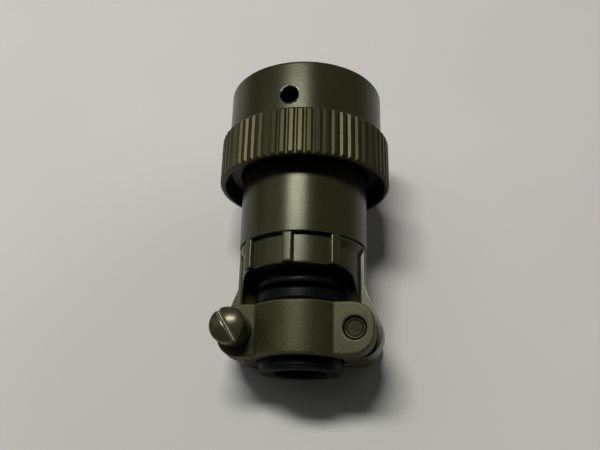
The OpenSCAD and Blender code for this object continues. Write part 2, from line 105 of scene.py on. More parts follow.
class Side(Enum):
    """The two halves of the cable clamp."""

    FRONT = "front"
    BACK = "back"

    def place(self, points: Array) -> Array:
        """Points drawn for the front, turned half round the axis for the back."""
        return points if self is Side.FRONT else points * np.array([-1.0, -1.0, 1.0])

    def clamp(self) -> Body:
        """Body of this side's strap."""
        return Body(f"{self.value}_clamp")

    def fastener(self) -> Body:
        """Body of the screw whose head is on this side."""
        return Body(f"{self.value}_fastener")


@dataclass(frozen=True)
class Lumps:
    """Coarse part of a relief: its size in grains, its share of the height, and its noise."""

    size: float
    share: float
    detail: float
    rough: float = 0.5
    steps: Range | None = None
    stretch: Triple | None = None


class Surface(Enum):
    """How a surface was made: what lies in its relief beside the fine grain."""

    PLATED = Lumps(1.0, 0.0, 1.0)
    CAST = Lumps(2.5, 0.55, 2.0, 0.55, steps=(0.3, 0.65))
    DRAWN = Lumps(2.0, 0.5, 2.0, stretch=(4.0, 0.25, 4.0))
    MOULDED = Lumps(9.0, 0.4, 1.0)


# Sizes and placement


@dataclass(frozen=True)
class Plug:
    """Sizes in millimetres that several pieces share, and how the plug lies.

    It is rolled onto the back saddle and one back lug, and pitched from the nut's ridges.
    """

    grip_r: float = 13.25
    grip_touch: float = 15.4
    barrel_r: float = 9.67
    seam: float = 26.1
    seam_gap: float = 0.015
    saddle_r: float = 7.75
    strap_mid: float = 38.95
    strap_half: float = 3.75
    strap_end: float = 42.7
    lug_reach: float = 11.20999
    lug_face: float = 5.45
    screw_x: float = 8.45999

    def matrix(self) -> Array:
        """Turn from the plug's own frame to the row frame.

        Returns:
            The 3 by 3 matrix: first the roll about z, then the tip about x.
        """
        corner = math.hypot(self.lug_reach, self.lug_face)
        roll = math.asin(self.saddle_r / corner) - math.atan2(self.lug_face, self.lug_reach)
        drop = math.atan2(self.grip_r - self.saddle_r, self.strap_end - self.grip_touch)
        tip = math.pi / 2 + drop
        about_z = [[math.cos(roll), -math.sin(roll), 0], [math.sin(roll), math.cos(roll), 0], [0, 0, 1]]
        about_x = [[1, 0, 0], [0, math.cos(tip), -math.sin(tip)], [0, math.sin(tip), math.cos(tip)]]
        return np.array(about_x) @ np.array(about_z)

    def to_row(self, points: Array) -> Array:
        """Points in millimetres, turned into the row frame in metres."""
        return points @ self.matrix().T * MM


PLUG = Plug()


# Outlines and surfaces


def rounded(corners: Sequence[Triple], steps: int = 5) -> Array:
    """Closed outline whose corners are arcs.

    Each corner (a, b, radius) becomes the arc that touches both of its sides: it starts at radius / tan(half
    the corner's angle) from the corner, and its centre lies on the bisector. A point close to each end of
    the straight sides keeps the shading of a flat side flat.

    Args:
        corners: Corner points with their radii, in order.
        steps: Segments of each arc.

    Returns:
        Points (n, 2).
    """
    data = np.array(corners, float)
    here, radius = data[:, :2], data[:, 2:]
    back, ahead = np.roll(here, 1, 0) - here, np.roll(here, -1, 0) - here
    back /= np.linalg.norm(back, axis=1, keepdims=True)
    ahead /= np.linalg.norm(ahead, axis=1, keepdims=True)
    half = np.arccos(np.clip((back * ahead).sum(1, keepdims=True), -1, 1)) / 2
    middle = back + ahead
    middle /= np.maximum(np.linalg.norm(middle, axis=1, keepdims=True), 1e-9)
    centre = here + middle * radius / np.sin(half)
    first, last = here + back * radius / np.tan(half), here + ahead * radius / np.tan(half)
    a0 = np.arctan2(*(first - centre).T[::-1])
    a1 = np.arctan2(*(last - centre).T[::-1])
    swing = (a1 - a0 + np.pi) % (2 * np.pi) - np.pi
    angle = a0[:, None] + swing[:, None] * np.linspace(0, 1, steps + 1)
    arc = centre[:, None] + radius[:, None] * np.stack([np.cos(angle), np.sin(angle)], -1)
    onward = np.roll(arc[:, 0], -1, 0) - arc[:, -1]
    reach = np.linalg.norm(onward, axis=1, keepdims=True)
    inset = np.minimum(SIDE_INSET, reach / 3) * onward / np.maximum(reach, 1e-9)
    near, far = arc[:, -1] + inset, arc[:, -1] + onward - inset
    return np.concatenate([arc, near[:, None], far[:, None]], 1).reshape(-1, 2)


def box_outline(a0: float, a1: float, b0: float, b1: float, radius: float, steps: int = 4) -> Array:
    """Rectangle from (a0, b0) to (a1, b1) with rounded corners."""
    return rounded([(a0, b0, radius), (a1, b0, radius), (a1, b1, radius), (a0, b1, radius)], steps)


def turned(profile: Array, angles: int = 224) -> Array:
    """A profile (r, z) carried once round the axis: the point (r cos a, r sin a, z) for each angle a."""
    a = np.linspace(0, 2 * np.pi, angles, endpoint=False)
    return np.stack([profile[:, :1] * np.cos(a), profile[:, :1] * np.sin(a), profile[:, 1:] + 0 * a], -1)


def strip(section: Array, a: Array, lift: Array) -> Array:
    """A closed section (r, z) carried through the angles a, and raised by lift at each of them."""
    c, s, up = np.cos(a)[:, None], np.sin(a)[:, None], lift[:, None]
    return np.stack([c * section[:, 0], s * section[:, 0], section[:, 1] + up], -1)


def capped(surface: Array) -> Array:
    """A row of closed loops with both ends drawn in to the middle of the end loop."""
    first, last = [0 * loop + loop.mean(1, keepdims=True) for loop in (surface[:1], surface[-1:])]
    return np.concatenate([first, surface, last])


# Solids given by their distance, below zero inside


def meet(a: Array, b: Array, radius: float = 0.0) -> Array:
    """What two solids share; where their surfaces cross, the edge is an arc of that radius."""
    corner = np.hypot(np.maximum(a + radius, 0), np.maximum(b + radius, 0))
    return np.minimum(np.maximum(a, b), -radius) + corner


def join(a: Array, b: Array, radius: float = 0.0) -> Array:
    """Two solids in one; where their surfaces cross, the inner corner is a fillet of that radius."""
    return -meet(-a, -b, radius)


def cut(a: Array, b: Array, radius: float = 0.0) -> Array:
    """Solid a without solid b, with the cut's edge rounded."""
    return meet(a, -b, radius)


def polygon(u: Array, v: Array, corners: Sequence[Range]) -> Array:
    """Distance to a polygon: to its nearest side, and negative where a ray crosses an odd number of sides.

    Args:
        u: First coordinate.
        v: Second coordinate.
        corners: Corner points, in order.

    Returns:
        The distance.
    """
    best = np.full(u.shape, np.inf)
    sign = np.ones(u.shape)
    points = np.array(corners)
    for p, q in zip(points, np.roll(points, -1, 0)):
        side = q - p
        share = np.clip(((u - p[0]) * side[0] + (v - p[1]) * side[1]) / (side @ side), 0, 1)
        best = np.minimum(best, np.hypot(u - p[0] - share * side[0], v - p[1] - share * side[1]))
        if side[1]:
            at = p[0] + (v - p[1]) * side[0] / side[1]
            sign = np.where(((p[1] > v) != (q[1] > v)) & (u < at), -sign, sign)
    return sign * best


def slope(field: Field, points: Array, reach: float = 0.01) -> Array:
    """Gradient of a distance at points, from differences over a short reach."""
    shifts = np.eye(3) * reach
    return np.stack([field((points + s).T) - field((points - s).T) for s in shifts], -1) / (2 * reach)


def net(field: Field, low: Sequence[float], high: Sequence[float], step: float) -> tuple[Array, Array]:
    """Skin of a solid given by its distance.

    A box is divided into cells. Each cell that the surface passes through gets one point, the mean of the
    crossings on its edges, moved along the gradient onto the surface. Each crossed edge gives one quad
    between the four cells round it.

    Args:
        field: Distance as a function of the place.
        low: Lowest corner of the box.
        high: Highest corner of the box.
        step: Size of the cells.

    Returns:
        Points (n, 3) and quads (m, 4).
    """
    axes = [np.arange(a, b + step, step) for a, b in zip(low, high)]
    d = field(np.meshgrid(*axes, indexing="ij"))
    inside = d < 0
    shape = tuple(np.array(d.shape) - 1)
    corners = np.stack(np.meshgrid([0, 1], [0, 1], [0, 1], indexing="ij"), -1).reshape(-1, 3)
    views = [inside[i : i + shape[0], j : j + shape[1], k : k + shape[2]] for i, j, k in corners]
    active = np.any(views, 0) & ~np.all(views, 0)
    cells = np.argwhere(active)
    number = np.full(shape, -1)
    number[active] = np.arange(len(cells))
    total, hits = np.zeros((len(cells), 3)), np.zeros(len(cells))
    for axis, unit in enumerate(np.eye(3, dtype=int)):
        for corner in corners[corners[:, axis] == 0]:
            da, db = d[tuple((cells + corner).T)], d[tuple((cells + corner + unit).T)]
            crossed = (da < 0) != (db < 0)
            share = da / np.where(crossed, da - db, 1)
            total += np.where(crossed[:, None], corner + share[:, None] * unit, 0)
            hits += crossed
    points = np.array(low) + step * (cells + total / hits[:, None])
    for _ in range(SETTLE_PASSES):
        g = slope(field, points)
        move = field(points.T) / np.maximum((g * g).sum(1), LEAST_SLOPE)
        points -= np.clip(move, -step / 2, step / 2)[:, None] * g
    quads = []
    for unit in np.eye(3, dtype=int):
        u, v = np.roll(unit, 1), np.roll(unit, 2)
        head = [slice(None, -1) if unit[k] else slice(1, -1) for k in range(3)]
        tail = [slice(1, None) if unit[k] else slice(1, -1) for k in range(3)]
        near, far = inside[tuple(head)], inside[tuple(tail)]
        at = np.argwhere(near != far) + 1 - unit
        outward = inside[tuple(at.T)]
        around = [number[tuple((at - s).T)] for s in (0 * u, u, u + v, v)]
        faces = np.stack(around, -1)
        quads.append(np.where(outward[:, None], faces, faces[:, ::-1]))
    return points, np.concatenate(quads)


# Meshes


def placed(name: str, data: bpy.types.ID) -> bpy.types.Object:
    """A new object in the scene.

    Args:
        name: Name of the object.
        data: Mesh, lamp or camera.

    Returns:
        The object.
    """
    made = bpy.data.objects.new(name, data)
    bpy.context.scene.collection.objects.link(made)
    return made


def drum(r: float, front: float, rear: float) -> Box:
    """Lowest and highest corner of the box round a drum on the axis."""
    return (-r, -r, front), (r, r, rear)


def as_drawn(points: Array) -> Array:
    """Points left where they were drawn."""
    return points


class Skin:
    """Points and faces of one piece, in the plug's own frame in millimetres."""

    def __init__(self, name: str) -> None:
        """Starts the empty skin of the piece of that name.

        Args:
            name: Name of the piece.
        """
        self.name = name
        self.points: list[Array] = []
        self.faces: list[Array] = []
        self.count = 0

    def add(self, points: Array, quads: Array) -> "Skin":
        """Adds one closed shell, turned outside out if its volume comes out negative.

        Args:
            points: Points (n, 3).
            quads: Corner numbers (m, 4).

        Returns:
            The skin itself.
        """
        p = points[quads]
        twice = np.cross(p[:, 2] - p[:, 0], p[:, 3] - p[:, 1])
        if (p.mean(1) * twice).sum() < 0:
            quads = quads[:, ::-1]
        self.points.append(points)
        self.faces.append(quads + self.count)
        self.count += len(points)
        return self

    def grid(self, surface: Array, wrap: bool) -> "Skin":
        """Adds a surface on a grid whose last column joins the first.

        Args:
            surface: Points (u, v, 3).
            wrap: Whether the last row joins the first as well.

        Returns:
            The skin itself.
        """
        number = np.arange(surface[..., 0].size).reshape(surface.shape[:2])
        onward = np.roll(number, -1, 0)
        quads = np.stack([number, onward, np.roll(onward, -1, 1), np.roll(number, -1, 1)], -1)
        return self.add(surface.reshape(-1, 3), (quads if wrap else quads[:-1]).reshape(-1, 4))

    def ring(self, profile: Array, angles: int = 224) -> "Skin":
        """Adds a closed profile (r, z) turned about the axis."""
        return self.grid(turned(profile, angles), True)

    def solid(
        self, field: Field, box: Box, room: float | Triple, step: float, place: Place = as_drawn
    ) -> "Skin":
        """Adds the skin of a solid given by its distance.

        Args:
            field: Distance as a function of the place.
            box: Lowest and highest corner of the solid.
            room: Free room round it, one for all axes or one for each.
            step: Size of the cells.
            place: Where its points go in the plug's own frame.

        Returns:
            The skin itself.
        """
        points, quads = net(field, np.array(box[0]) - room, np.array(box[1]) + room, step)
        return self.add(place(points), quads)

    def welded(self) -> tuple[Array, list[list[int]]]:
        """Joins points that coincide and drops what collapses.

        Returns:
            Points (n, 3) and the faces, quads first and then the triangles at poles.
        """
        points, faces = np.concatenate(self.points), np.concatenate(self.faces)
        _, first, number = np.unique(np.round(points, 5), axis=0, return_index=True, return_inverse=True)
        faces = number.reshape(-1)[faces]
        same = faces == np.roll(faces, -1, 1)
        quads = faces[~same.any(1)]
        once = faces[same.sum(1) == 1]
        keep = ~same[same.sum(1) == 1]
        thirds = once[keep].reshape(-1, 3)
        return points[first], quads.tolist() + thirds.tolist()

    def build(self, finish: "Finish", body: Body, node: str, crease: float = 38.0) -> bpy.types.Object:
        """Makes the mesh object, dresses it and puts it on its body in place of a CAD node.

        Args:
            finish: Finish of the whole piece.
            body: Body that it rides on.
            node: CAD node that it stands for.
            crease: Angle in degrees from which an edge is shaded sharp.

        Returns:
            The object.
        """
        points, faces = self.welded()
        mesh = bpy.data.meshes.new(self.name)
        mesh.from_pydata(PLUG.to_row(points).tolist(), [], faces)
        mesh.validate()
        mesh.polygons.foreach_set("use_smooth", np.ones(len(mesh.polygons), bool))
        mesh.set_sharp_from_angle(angle=math.radians(crease))
        self.mark_edges(mesh)
        made = placed(self.name, mesh)
        mesh.materials.append(finish.material())
        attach(made, body.value)
        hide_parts(node)
        LOG.info("%s: %d faces on %s", self.name, len(mesh.polygons), body.value)
        return made

    def mark_edges(self, mesh: bpy.types.Mesh) -> None:
        """Stores how convex the surface is at each point, per millimetre.

        For a point with normal n and a neighbour at offset e it is the mean of n . e / |e|^2, which on a ball
        is half of one over its radius.

        Args:
            mesh: Mesh in metres, which gets the attribute "edge".
        """
        count = len(mesh.vertices)
        co, normal = np.zeros(count * 3, np.float32), np.zeros(count * 3, np.float32)
        ends = np.zeros(len(mesh.edges) * 2, np.int32)
        mesh.vertices.foreach_get("co", co)
        mesh.vertex_normals.foreach_get("vector", normal)
        mesh.edges.foreach_get("vertices", ends)
        co, normal, ends = co.reshape(-1, 3) / MM, normal.reshape(-1, 3), ends.reshape(-1, 2)
        ends = np.concatenate([ends, ends[:, ::-1]])
        offset = co[ends[:, 0]] - co[ends[:, 1]]
        bend = (offset * normal[ends[:, 0]]).sum(1) / np.maximum((offset * offset).sum(1), 1e-6)
        total = np.bincount(ends[:, 0], bend, count) / np.maximum(np.bincount(ends[:, 0], None, count), 1)
        layer = mesh.attributes.new("edge", "FLOAT", "POINT")
        layer.data.foreach_set("value", np.clip(total, -BEND_LIMIT, BEND_LIMIT).astype(np.float32))


# Shading


class Wire:
    """One output of a material's nodes, on which values can be worked out."""

    def __init__(self, graph: "Graph", socket: bpy.types.NodeSocket) -> None:
        """Wraps a socket of a graph."""
        self.graph = graph
        self.socket = socket

    def _math(self, operation: str, first: Any, second: Any) -> "Wire":
        """One Math node on two values."""
        return self.graph.node("ShaderNodeMath", {"operation": operation}, {0: first, 1: second})

    def __add__(self, other: Any) -> "Wire":
        """Sum."""
        return self._math("ADD", self, other)

    __radd__ = __add__

    def __sub__(self, other: Any) -> "Wire":
        """Difference."""
        return self._math("SUBTRACT", self, other)

    def __rsub__(self, other: Any) -> "Wire":
        """Difference with the wire second."""
        return self._math("SUBTRACT", other, self)

    def __mul__(self, other: Any) -> "Wire":
        """Product."""
        return self._math("MULTIPLY", self, other)

    __rmul__ = __mul__

    def ramp(self, low: float, high: float) -> "Wire":
        """0 at low, 1 at high, with a smooth rise between them."""
        settings = {"interpolation_type": "SMOOTHSTEP"}
        return self.graph.node("ShaderNodeMapRange", settings, {0: self, 1: low, 2: high, 3: 0.0, 4: 1.0})


class Graph:
    """Node tree of one material."""

    def __init__(self, name: str) -> None:
        """Starts an empty material of that name.

        Args:
            name: Name of the material.
        """
        self.material = bpy.data.materials.new(name)
        self.material.use_nodes = True
        self.tree = self.material.node_tree
        self.tree.nodes.clear()

    def node(
        self, kind: str, settings: dict[str, Any], inputs: dict[int | str, Any], output: int | str = 0
    ) -> Wire:
        """Adds a node.

        Args:
            kind: Type of the node.
            settings: Its own settings, set first.
            inputs: Values or wires of its sockets.
            output: Which output to hand back.

        Returns:
            That output.
        """
        made = self.tree.nodes.new(kind)
        for key, value in settings.items():
            setattr(made, key, value)
        for key, value in inputs.items():
            if isinstance(value, Wire):
                self.tree.links.new(value.socket, made.inputs[key])
            else:
                made.inputs[key].default_value = value
        return Wire(self, made.outputs[output])

    def place(self) -> Wire:
        """Object coordinates in millimetres."""
        here = self.node("ShaderNodeTexCoord", {}, {}, "Object")
        return self.node("ShaderNodeVectorMath", {"operation": "SCALE"}, {0: here, "Scale": 1 / MM})

    def noise(self, place: Wire, size: float, detail: float = 2.0, rough: float = 0.5) -> Wire:
        """Noise from 0 to 1 whose lumps are about that many millimetres apart."""
        inputs = {"Vector": place, "Scale": 1 / size, "Detail": detail, "Roughness": rough}
        return self.node("ShaderNodeTexNoise", {}, inputs, "Fac")

    def mix(self, share: Any, first: Any, second: Any) -> Wire:
        """Colour between two colours."""
        tones = [(*c, 1.0) if isinstance(c, tuple) else c for c in (first, second)]
        return self.node("ShaderNodeMix", {"data_type": "RGBA"}, {0: share, 6: tones[0], 7: tones[1]}, 2)

    def bump(self, height: Wire, depth: float) -> Wire:
        """Normal of a relief whose height of 1 stands for that many millimetres."""
        inputs = {"Height": height, "Distance": depth * MM, "Strength": 1.0}
        return self.node("ShaderNodeBump", {}, inputs, "Normal")

    def finish(self, shader: Wire) -> bpy.types.Material:
        """Ends the tree in its output.

        Args:
            shader: Shader of the surface.

        Returns:
            The material.
        """
        end = self.tree.nodes.new("ShaderNodeOutputMaterial")
        self.tree.links.new(shader.socket, end.inputs["Surface"])
        return self.material


@dataclass(frozen=True)
class Finish:
    """A finish: its colours, how it reflects, and the relief of its surface."""

    name: str
    slot: str
    surface: Surface
    colour: Colour
    patch: Colour
    # Pale tone of high grain and convex edges; on the edges it is partly wear, partly a painted highlight
    wear_and_highlight: Colour
    metallic: float
    roughness: float
    swing: float
    grain: float
    depth: float
    # Strength of the pale convex edges: partly wear, partly a painted highlight
    edge_wear_and_highlight: float = 0.6
    specular: float = 0.5
    drift: float = 5.0
    drift_range: Range = (0.3, 0.72)
    high_range: Range = (0.6, 0.9)
    high_wear: float = 0.12
    edge_range: Range = (0.35, 1.5)
    edge_patch_size: float = 0.9
    edge_patch_range: Range = (0.25, 0.6)
    rub_gloss: float = 0.08

    def relief(self, g: Graph, place: Wire) -> Wire:
        """Height of the surface from 0 to 1.

        Args:
            g: Graph to add nodes to.
            place: Coordinates in millimetres.

        Returns:
            The height.
        """
        fine, lumps = g.noise(place, self.grain, DETAIL, ROUGH), self.surface.value
        if not lumps.share:
            return fine
        if lumps.stretch:
            place = g.node("ShaderNodeMapping", {}, {"Vector": place, "Scale": lumps.stretch})
        coarse = g.noise(place, self.grain * lumps.size, lumps.detail, lumps.rough)
        if lumps.steps:
            coarse = coarse.ramp(*lumps.steps)
        return fine * (1 - lumps.share) + coarse * lumps.share

    @cache
    def material(self) -> bpy.types.Material:
        """The material, made once.

        Returns:
            A tree whose colour drifts in soft patches and pales on convex edges, partly as wear and partly as
            a painted highlight along them, and whose gloss follows the grain.
        """
        g = Graph(self.name)
        place = g.place()
        height = self.relief(g, place)
        drift = g.noise(place, self.drift, DETAIL, ROUGH).ramp(*self.drift_range)
        tone = g.mix(drift, self.colour, self.patch)
        tone = g.mix(height.ramp(*self.high_range) * self.high_wear, tone, self.wear_and_highlight)
        # Convex edges turn pale: partly real wear, partly a painted highlight along each edge
        convex = g.node("ShaderNodeAttribute", {"attribute_name": "edge"}, {}, "Fac").ramp(*self.edge_range)
        rubbed_and_lit = convex * g.noise(place, self.edge_patch_size, DETAIL, ROUGH).ramp(*self.edge_patch_range) * self.edge_wear_and_highlight
        tone = g.mix(rubbed_and_lit, tone, self.wear_and_highlight)
        gloss = self.roughness + (height - 0.5) * self.swing - rubbed_and_lit * self.rub_gloss
        inputs = {
            "Base Color": tone,
            "Roughness": gloss,
            "Metallic": self.metallic,
            "Specular IOR Level": self.specular,
            "Normal": g.bump(height, self.depth),
        }
        return g.finish(g.node("ShaderNodeBsdfPrincipled", {}, inputs))


OLIVE_PLATING = Finish(
    "olive_plating", "olive_plating", Surface.PLATED,
    colour=(0.025, 0.0256, 0.009), patch=(0.03, 0.0303, 0.0117), wear_and_highlight=(0.13, 0.126, 0.08),
    metallic=0.36, roughness=0.29, swing=0.1, grain=0.28, depth=0.016, edge_wear_and_highlight=0.2, specular=0.27,
)
OLIVE_GRIP = replace(
    OLIVE_PLATING, name="olive_grip",
    colour=(0.0272, 0.0266, 0.0092), patch=(0.0325, 0.0316, 0.012),
    metallic=0.5, roughness=0.39, depth=0.006, specular=0.16,
)
OLIVE_SATIN = Finish(
    "olive_satin", "olive_plating", Surface.PLATED,
    colour=(0.027, 0.0277, 0.009), patch=(0.032, 0.0323, 0.0118), wear_and_highlight=(0.15, 0.145, 0.1),
    metallic=0.4, roughness=0.32, swing=0.12, grain=0.25, depth=0.016, edge_wear_and_highlight=0.35, specular=0.38,
)
OLIVE_CAST = Finish(
    "olive_cast", "olive_cast", Surface.CAST,
    colour=(0.0275, 0.0276, 0.0076), patch=(0.0335, 0.0333, 0.0106), wear_and_highlight=(0.16, 0.155, 0.1),
    metallic=0.45, roughness=0.47, swing=0.1, grain=0.12, depth=0.012, specular=0.28,
)
SCREW_METAL = Finish(
    "screw_metal", "screw_metal", Surface.DRAWN,
    colour=(0.048, 0.0475, 0.0255), patch=(0.056, 0.055, 0.032), wear_and_highlight=(0.17, 0.17, 0.148),
    metallic=0.5, roughness=0.26, swing=0.1, grain=0.18, depth=0.006, edge_wear_and_highlight=0.5, specular=0.3,
)
SCREW_THREAD = Finish(
    "screw_thread", "screw_metal", Surface.CAST,
    colour=(0.013, 0.0125, 0.005), patch=(0.017, 0.0163, 0.007), wear_and_highlight=(0.08, 0.076, 0.045),
    metallic=0.4, roughness=0.48, swing=0.14, grain=0.14, depth=0.01, specular=0.05,
)
# Blackened steel, its colour darkened further as painted shade for the rings deep in the nut's shaded mouth
SPRING_STEEL = Finish(
    "spring_steel", "spring_steel", Surface.DRAWN,
    colour=(0.014, 0.0155, 0.0125), patch=(0.021, 0.0225, 0.019), wear_and_highlight=(0.2, 0.2, 0.19),
    metallic=0.9, roughness=0.38, swing=0.15, grain=0.2, depth=0.004,
)
GLAND_RUBBER = Finish(
    "gland_rubber", "gland_rubber", Surface.MOULDED,
    colour=(0.003, 0.0033, 0.0036), patch=(0.0042, 0.0045, 0.0049), wear_and_highlight=(0.008, 0.0084, 0.0089),
    metallic=0.0, roughness=0.35, swing=0.2, grain=0.16, depth=0.006, edge_wear_and_highlight=0.4, specular=0.06,
)
SEAL_RUBBER = Finish(
    "seal_rubber", "seal_rubber", Surface.MOULDED,
    colour=(0.11, 0.028, 0.018), patch=(0.13, 0.036, 0.024), wear_and_highlight=(0.2, 0.09, 0.07),
    metallic=0.0, roughness=0.55, swing=0.15, grain=0.16, depth=0.005, edge_wear_and_highlight=0.3,
)
INSERT_PLASTIC = Finish(
    "insert_plastic", "insert_plastic", Surface.MOULDED,
    colour=(0.02, 0.022, 0.02), patch=(0.028, 0.03, 0.027), wear_and_highlight=(0.07, 0.07, 0.065),
    metallic=0.0, roughness=0.45, swing=0.15, grain=0.25, depth=0.004,
)
GOLD_PLATING = Finish(
    "gold_plating", "gold_plating", Surface.DRAWN,
    colour=(0.72, 0.5, 0.17), patch=(0.78, 0.57, 0.22), wear_and_highlight=(0.85, 0.68, 0.36),
    metallic=1.0, roughness=0.24, swing=0.12, grain=0.12, depth=0.003,
)


# Coupling nut


@dataclass
class CouplingNut:
    """Coupling nut: smooth band with bayonet slots and sight holes, and a ridged grip behind it."""

    bore_r: float = 9.7
    slot_r: float = 10.9
    band_r: float = 12.15
    shoulder: float = 9.2
    hole_r: float = 1.4
    hole_z: float = 5.7
    hole_span: float = 1.5
    slot_half: float = 1.15
    slot_start: float = 2.7
    slot_turn: float = 95.0
    bayonets: int = 3
    grip_z: float = 8.4
    grip_end: float = 15.9
    root_r: float = 13.02
    crest_edge: float = 0.42
    ridges: int = 64
    ridge_steps: int = 16
    ridge_top: float = 3 / 8
    ridge_foot: float = 7 / 8
    ridge_crease: float = 30.0
    pocket_r: float = 11.38
    groove_r: float = 11.98
    groove_z: float = 13.05
    groove_end: float = 14.05
    mouth_r: float = 12.45
    arc_steps: int = 4
    room: Triple = (0.3, 0.3, 0.4)
    cell: float = 0.18

    def slot(self, r: Array, a: Array, z: Array) -> Array:
        """Distance to one bayonet slot.

        The slot's middle climbs evenly with the angle from its entry to the sight hole; the distance is taken
        on the unrolled surface, where an angle counts as its arc.

        Args:
            r: Radius.
            a: Angle from the slot's entry, in radians, from -pi to pi.
            z: Depth behind the mating face.

        Returns:
            The distance.
        """
        turn = math.radians(self.slot_turn)
        share = np.clip(a / turn, 0, 1)
        middle = self.slot_start + (self.hole_z - self.slot_start) * share
        ramp = np.hypot((a - share * turn) * r, z - middle)
        entry = np.hypot(a * r, np.maximum(z - self.slot_start, 0))
        return meet(np.minimum(ramp, entry) - self.slot_half, r - self.slot_r, SMALL)

    def band(self, p: Spot) -> Array:
        """Distance to the smooth band: a tube with rounded edges, less its slots and sight holes.

        Args:
            p: Coordinates x, y and z.

        Returns:
            The distance.
        """
        x, y, z = p
        r, a = np.hypot(x, y), np.arctan2(y, x)
        body = meet(meet(r - self.band_r, -z, FULL), self.bore_r - r, FULL)
        body = meet(body, z - self.shoulder)
        for k in range(self.bayonets):
            end = math.pi / 2 + 2 * math.pi * k / self.bayonets
            from_hole = (a - end + np.pi) % (2 * np.pi) - np.pi
            from_entry = (a - end + math.radians(self.slot_turn) + np.pi) % (2 * np.pi) - np.pi
            beside = r * np.sin(np.clip(from_hole, -self.hole_span, self.hole_span))
            hole = np.hypot(beside, z - self.hole_z) - self.hole_r
            body = cut(body, self.slot(r, from_entry, z), FINE)
            body = cut(body, hole, HAIR)
        return body

    def section(self, outer: float, edge: float) -> Array:
        """Profile of the grip for one outer radius.

        Args:
            outer: Outer radius.
            edge: Radius of the front and rear edges.

        Returns:
            Closed profile (n, 2).
        """
        return rounded(
            [
                (self.pocket_r, self.grip_z, 0),
                (outer, self.grip_z, edge),
                (outer, self.grip_end, edge),
                (self.mouth_r, self.grip_end, SMALL),
                (self.pocket_r, self.groove_end, CRISP),
                (self.groove_r, self.groove_end, 0),
                (self.groove_r, self.groove_z, 0),
                (self.pocket_r, self.groove_z, 0),
            ],
            self.arc_steps,
        )

    def grip(self) -> Array:
        """The ridged grip.

        Each point lies between the profile through a groove and the profile over a crest. With t from 0 at
        the middle of a crest to 1 at the middle of a groove, the crest is flat up to ridge_top and the flank
        falls evenly from there to ridge_foot.

        Returns:
            Points on a grid of profile and angle.
        """
        count = self.ridges * self.ridge_steps
        a = np.linspace(0, 2 * np.pi, count, endpoint=False)
        t = np.abs(2 * ((a * self.ridges / (2 * np.pi)) % 1) - 1)
        share = np.clip((self.ridge_foot - t) / (self.ridge_foot - self.ridge_top), 0, 1)
        low = turned(self.section(self.root_r, FINE), count)
        high = turned(self.section(PLUG.grip_r, self.crest_edge), count)
        return low + share[None, :, None] * (high - low)

    def build(self) -> None:
        """Builds and dresses the band and the grip."""
        box = drum(self.band_r, 0.0, self.shoulder)
        band = Skin("nut_band").solid(self.band, box, self.room, self.cell)
        band.build(OLIVE_PLATING, Body.NUT, "coupling_nut")
        grip = Skin("nut_grip").grid(self.grip(), True)
        grip.build(OLIVE_GRIP, Body.NUT, "coupling_nut", self.ridge_crease)


@dataclass
class NutRetention:
    """Pieces that hold the nut on the shell: split ring, thrust washer and wave spring."""

    inner_r: float = 10.02
    ring_r: float = 11.95
    ring_z: float = 13.1
    ring_t: float = 0.9
    ring_split: float = 16.0
    washer_r: float = 11.3
    washer_z: float = 12.45
    washer_t: float = 0.6
    spring_r: float = 11.03
    spring_z: float = 11.1
    spring_h: float = 1.3
    spring_t: float = 0.3
    spring_edge: float = 0.06
    waves: int = 3
    ring_steps: int = 160
    spring_steps: int = 216
    travel: float = 0.5

    def outline(self, outer_r: float, z: float, thick: float, edge: float) -> Array:
        """Section of one ring: a rectangle from the common bore out, with rounded edges."""
        return box_outline(self.inner_r, outer_r, z, z + thick, edge)

    def build(self) -> None:
        """Builds and dresses the three rings."""
        half = math.radians(self.ring_split / 2)
        a = np.linspace(-math.pi / 2 + half, 1.5 * math.pi - half, self.ring_steps)
        outline = self.outline(self.ring_r, self.ring_z, self.ring_t, SMALL)
        ring = Skin("split_ring").grid(capped(strip(outline, a, 0 * a)), False)
        ring.build(SPRING_STEEL, Body.NUT, "retaining_ring")
        outline = self.outline(self.washer_r, self.washer_z, self.washer_t, FINE)
        Skin("pressure_washer").ring(outline).build(SPRING_STEEL, Body.SEAT, "thrust_washer")
        a = np.linspace(0, 2 * math.pi, self.spring_steps, endpoint=False)
        lift = (self.spring_h - self.spring_t) * (1 + np.cos(a * self.waves)) / 2
        outline = self.outline(self.spring_r, self.spring_z, self.spring_t, self.spring_edge)
        spring = Skin("waved_spring").grid(strip(outline, a, lift), True)
        made = spring.build(SPRING_STEEL, Body.SHELL, "wave_spring")
        seat = PLUG.to_row(np.array([0.0, 0.0, self.spring_z]))
        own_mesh(made)


# Plug shell and what it holds


